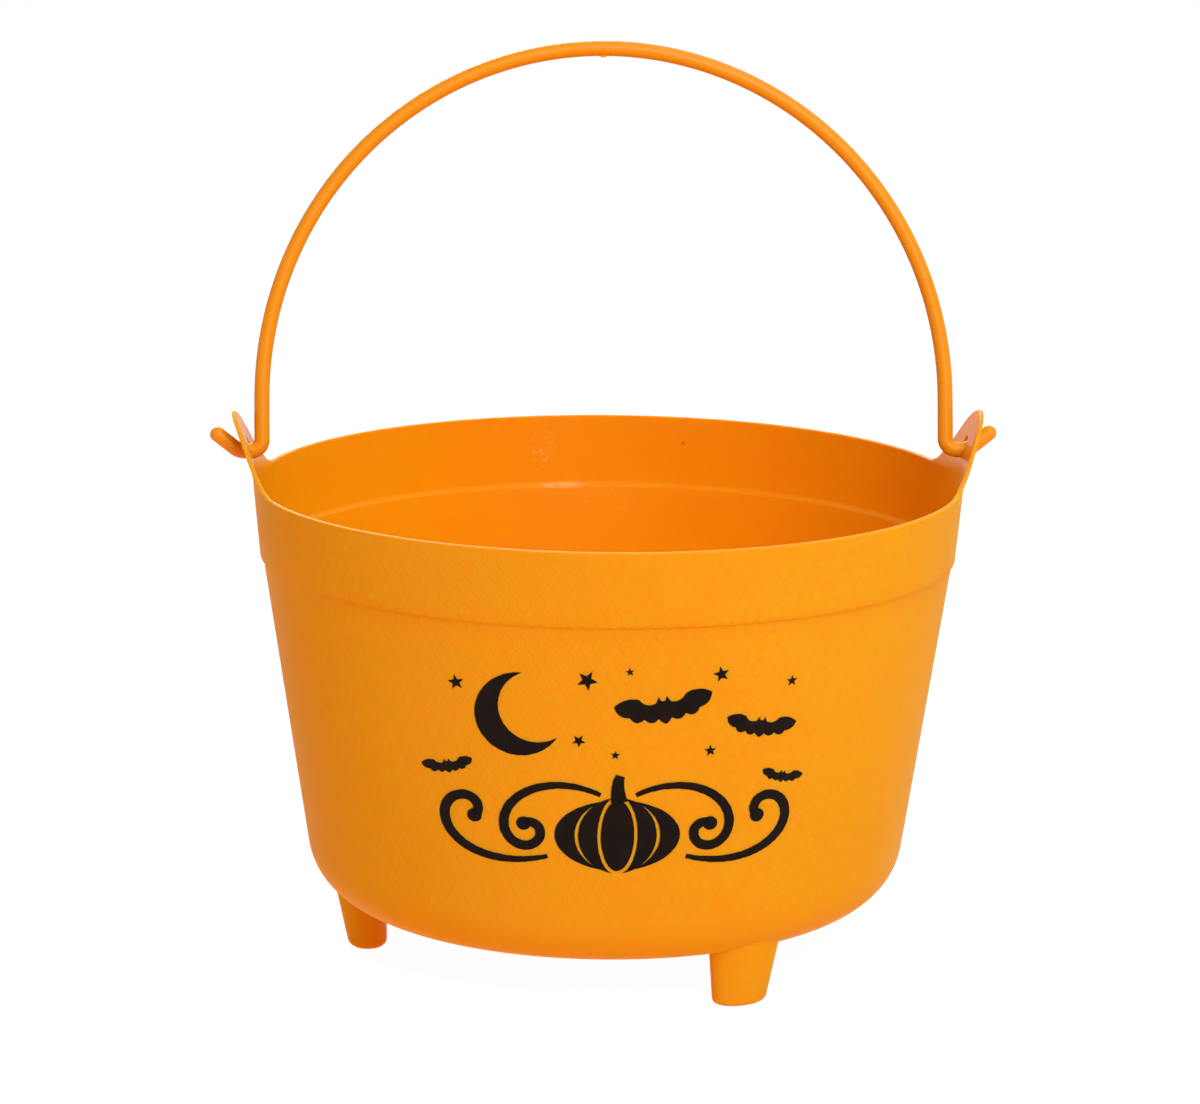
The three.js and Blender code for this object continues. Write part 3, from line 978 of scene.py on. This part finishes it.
# %% Build the honeycomb
comb_group, given, result = new_group(
    "embossed_honeycomb", ["Height"],
    Cells_Around=168.0, Row_Height=0.0039, Zigzag=0.5, Ridge_Width=0.17, Uprights=0.6,
    Lowest=0.024, Highest=0.1372,
)
x, y, z = add_node(comb_group, "SeparateXYZ", given["Position"]).outputs
comb = partial(calculate, comb_group)

# Where a point lies, counted in cells round the bucket and in rows up the wall.
angle = comb("ARCTAN2", x, comb("MULTIPLY", y, -1.0))
cell = comb("MULTIPLY", comb("DIVIDE", angle, 2 * pi), given["Cells Around"])
row = comb("DIVIDE", z, given["Row Height"])
to_valley = comb("PINGPONG", cell, 0.5)

# The zigzags: even rows follow a wave round the bucket, and odd rows follow its mirror image.
wave = comb("MULTIPLY", comb("SUBTRACT", comb("MULTIPLY", to_valley, 2.0), 0.5), given["Zigzag"])
to_even = comb("PINGPONG", comb("SUBTRACT", row, wave), 1.0)
to_odd = comb("PINGPONG", comb("ADD", comb("ADD", row, wave), 1.0), 1.0)
nearest = comb("MINIMUM", to_even, to_odd)
ridges = fade(comb_group, nearest, 0.0, given["Ridge Width"], 1.0, 0.0)
print("zigzag ridges are wired")

# %% Add the uprights and fade the pattern out
odd_band = comb("FLOOR", comb("FLOORED_MODULO", row, 2.0))
upright_place = comb("MULTIPLY", comb("SUBTRACT", 1.0, odd_band), 0.5)
to_upright = comb("ABSOLUTE", comb("SUBTRACT", to_valley, upright_place))
to_middle = comb("ABSOLUTE", comb("SUBTRACT", comb("FRACT", row), 0.5))
in_gap = fade(comb_group, to_middle, 0.2, 0.32, 1.0, 0.0)
uprights = comb("MULTIPLY", fade(comb_group, to_upright, 0.0, given["Ridge Width"], 1.0, 0.0), in_gap)
pattern = comb("MAXIMUM", ridges, comb("MULTIPLY", uprights, given["Uprights"]))

lowest, highest = given["Lowest"], given["Highest"]
above = fade(comb_group, z, lowest, comb("ADD", lowest, 0.012))
below = fade(comb_group, z, comb("SUBTRACT", highest, 0.0015), highest, 1.0, 0.0)
pattern = comb("MULTIPLY", pattern, comb("MULTIPLY", above, below))
comb_group.links.new(pattern, result["Height"])
print("group", comb_group.name)

# %% [markdown]
# ## The plastics and the ink
#
# The outside is satin and embossed. The inside was formed by the polished core of the mould, so it is
# smoother and shows a sharper highlight along the ledge. The rod is the same plastic, moulded smooth. All
# three let light into their surface, as thin polypropylene does. The inside lets it in deepest, so the
# wall's shaded side turns a deep red orange. The ink is nearly black, and its grain comes from the same
# group.

# %% Helpers for finishes


def use_group(tree, group, position, **values):
    """Places a node group in a material, with the values of its own inputs."""
    node = add_node(tree, "Group")
    node.node_tree = group
    tree.links.new(position, node.inputs["Position"])
    for name, value in values.items():
        wire(tree, value, node.inputs[name.replace("_", " ")])
    return node


def new_finish(name, gloss, bump_depth, drift, skin, comb_share=0.0):
    """A Principled material with drifting colour and a grained skin. The bump's depth is in millimetres."""
    material = bpy.data.materials.new(name)
    material.use_nodes = True
    tree = material.node_tree
    position = add_node(tree, "TexCoord").outputs["Object"]
    colour = use_group(tree, drift_group, position, **drift).outputs["Colour"]
    height, rough = use_group(tree, skin_group, position, **skin).outputs
    if comb_share:
        honeycomb = use_group(tree, comb_group, position).outputs["Height"]
        height = calculate(tree, "ADD", height, calculate(tree, "MULTIPLY", honeycomb, comb_share))
    bump = add_node(tree, "Bump", Distance=bump_depth * MM, Height=height)
    shader = tree.nodes["Principled BSDF"].inputs
    tree.links.new(colour, shader["Base Color"])
    tree.links.new(rough, shader["Roughness"])
    tree.links.new(bump.outputs["Normal"], shader["Normal"])
    shader["Specular IOR Level"].default_value = gloss
    return material, shader


print("helpers for finishes are ready")

# %% Mix the orange plastics
# Red light goes furthest through the plastic, green a tenth as far, and blue hardly gets in.
GLOW_BY_COLOUR = (1.0, 0.1, 0.02)
PLASTIC_BUMP = 0.05


def orange_plastic(
    name, colour, deep, roughness, gloss, grain, scuffs, glow_depth, glow=1.0, comb_share=0.0,
):
    """One finish of the same orange plastic. The glow depth is how far light gets in, in millimetres."""
    drift = {"Colour": (*colour, 1), "Deep_Colour": (*deep, 1), "Drift_Amount": 0.5}
    skin = {"Grain_Height": grain, "Roughness": roughness, "Scuffs": scuffs}
    material, shader = new_finish(name, gloss, PLASTIC_BUMP, drift, skin, comb_share)
    shader["IOR"].default_value = 1.49
    shader["Subsurface Weight"].default_value = glow
    shader["Subsurface Radius"].default_value = GLOW_BY_COLOUR
    shader["Subsurface Scale"].default_value = glow_depth * MM
    return material


satin_orange = orange_plastic(
    "satin_orange_embossed", (0.77, 0.43, 0.018), (0.76, 0.40, 0.015),
    roughness=0.5, gloss=0.03, grain=0.25, scuffs=0.15, glow_depth=2.0, comb_share=1.6,
)
polished_orange = orange_plastic(
    "polished_orange_inside", (0.81, 0.38, 0.003), (0.80, 0.35, 0.002),
    roughness=0.3, gloss=0.07, grain=0.08, scuffs=0.5, glow_depth=5.0,
)
rod_orange = orange_plastic(
    "smooth_orange_rod", (0.83, 0.34, 0.006), (0.82, 0.32, 0.005),
    roughness=0.36, gloss=0.2, grain=0.01, scuffs=0.05, glow_depth=0.4, glow=0.15,
)
print("plastics", [m.name for m in (satin_orange, polished_orange, rod_orange)])

# %% [markdown]
# ### Marks and a painted highlight
#
# On the back of the inside there is a pale speckled patch below the lip, a bright line along the ledge,
# which is a painted highlight, and a paler streak under it, and beside them one dark speck of burnt plastic.
# Each of these is the same group at another place and size. It is mixed over the colour of the inside and
# adds to its roughness.

# %% Mark the inside and paint a highlight on its ledge
inside_tree = polished_orange.node_tree
inside_shader = inside_tree.nodes["Principled BSDF"].inputs
inside_position = inside_tree.nodes["Texture Coordinate"].outputs["Object"]
inside_colour = inside_shader["Base Color"].links[0].from_socket
inside_rough = inside_shader["Roughness"].links[0].from_socket
inner = partial(calculate, inside_tree)
for centre, half_size, scale, cover, colour, strength, roughness in (
    # A pale speckled patch below the lip.
    ((-0.0140, 0.098, 0.1275), (0.006, 0.006, 0.0085), 800.0, 0.45, (0.95, 0.6, 0.16, 1), 0.35, 0.1),
    # A painted highlight: a bright line along the ledge inside.
    ((-0.0085, 0.097, 0.1165), (0.009, 0.006, 0.0012), 500.0, 0.8, (0.95, 0.66, 0.25, 1), 0.45, 0.1),
    # A paler streak under the ledge.
    ((0.0050, 0.096, 0.1115), (0.012, 0.006, 0.0045), 600.0, 0.4, (0.9, 0.52, 0.1, 1), 0.35, 0.2),
    # A dark speck of burnt plastic.
    ((0.0286, 0.0952, 0.1299), (0.0006, 0.002, 0.0007), 50.0, 1.2, (0.25, 0.05, 0.004, 1), 0.7, 0.0),
):
    place = use_group(
        inside_tree, mark_and_highlight_group, inside_position,
        Centre=centre, Half_Size=half_size, Speckle_Scale=scale, Cover=cover,
    )
    share = inner("MULTIPLY", place.outputs["Share"], strength)
    inside_colour = mix_colours(inside_tree, share, inside_colour, colour)
    inside_rough = inner("ADD", inside_rough, inner("MULTIPLY", share, roughness))
inside_tree.links.new(inside_colour, inside_shader["Base Color"])
inside_tree.links.new(inside_rough, inside_shader["Roughness"])
print("inside marked")

# %% Mix the ink and hand out the finishes
INK_DRIFT = {
    "Colour": (0.006, 0.003, 0.002, 1), "Deep_Colour": (0.012, 0.006, 0.003, 1),
    "Drift_Scale": 160.0, "Drift_Amount": 0.6,
}
INK_SKIN = {"Grain_Height": 0.5, "Roughness": 0.42, "Scuffs": 0.4}
black_ink = new_finish("satin_black_ink", gloss=0.08, bump_depth=0.03, drift=INK_DRIFT, skin=INK_SKIN)[0]
ink.data.materials.append(black_ink)
rod.data.materials.clear()
rod.data.materials.append(rod_orange)
print("ink", black_ink.name)

# %% [markdown]
# ## Inside and outside
#
# The shell is one mesh, and its two finishes meet at the lip. Which side a face belongs to follows from its
# place: a face is inside when its middle lies nearer the axis than the middle of the wall does at that
# height. On an ear the face's normal decides, and in a foot the distance from the foot's own middle line.

# %% Give each side its finish
wall_middle = moved_inwards(plain_outside, WALL / 2)


def middle_radius(z):
    """The radius of the middle of the wall at a height, from the corner up."""
    for low, high in zip(wall_middle[1:], wall_middle[2:]):
        if low[1] <= z <= high[1]:
            return at_height(low, high, z)[0]
    return RIM_RADIUS if z > RIM_Z else 0.0


def in_a_well(x, y, z):
    """True for a place in the hollow of one of the feet."""
    if not WALL / 2 < z < WELL_TOP:
        return False
    for turn in FOOT_TURNS:
        a = radians(-turn)
        along, across = x * cos(a) - y * sin(a), x * sin(a) + y * cos(a)
        along -= FOOT_CIRCLE + z * tan(FOOT_LEAN)
        half = FOOT_HALF_LENGTH + z * tan(FOOT_DRAFT) - WALL / 2
        squash = (FOOT_HALF_LENGTH * FOOT_ROUNDNESS - WALL / 2) / (FOOT_HALF_LENGTH - WALL / 2)
        if hypot(along / squash, across) < half:
            return True
    return False


shell.data.materials.clear()
shell.data.materials.append(satin_orange)
shell.data.materials.append(polished_orange)
inside_faces = 0
for face in shell.data.polygons:
    x, y, z = face.center / MM
    if z > RIM_Z:
        inside = face.normal.x * x < -0.35 * abs(x)
    elif z > FLOOR_Z + WALL / 2:
        inside = hypot(x, y) < middle_radius(z) or in_a_well(x, y, z)
    else:
        inside = in_a_well(x, y, z)
    face.material_index = int(inside)
    inside_faces += inside
print("inside faces", inside_faces, "of", len(shell.data.polygons))
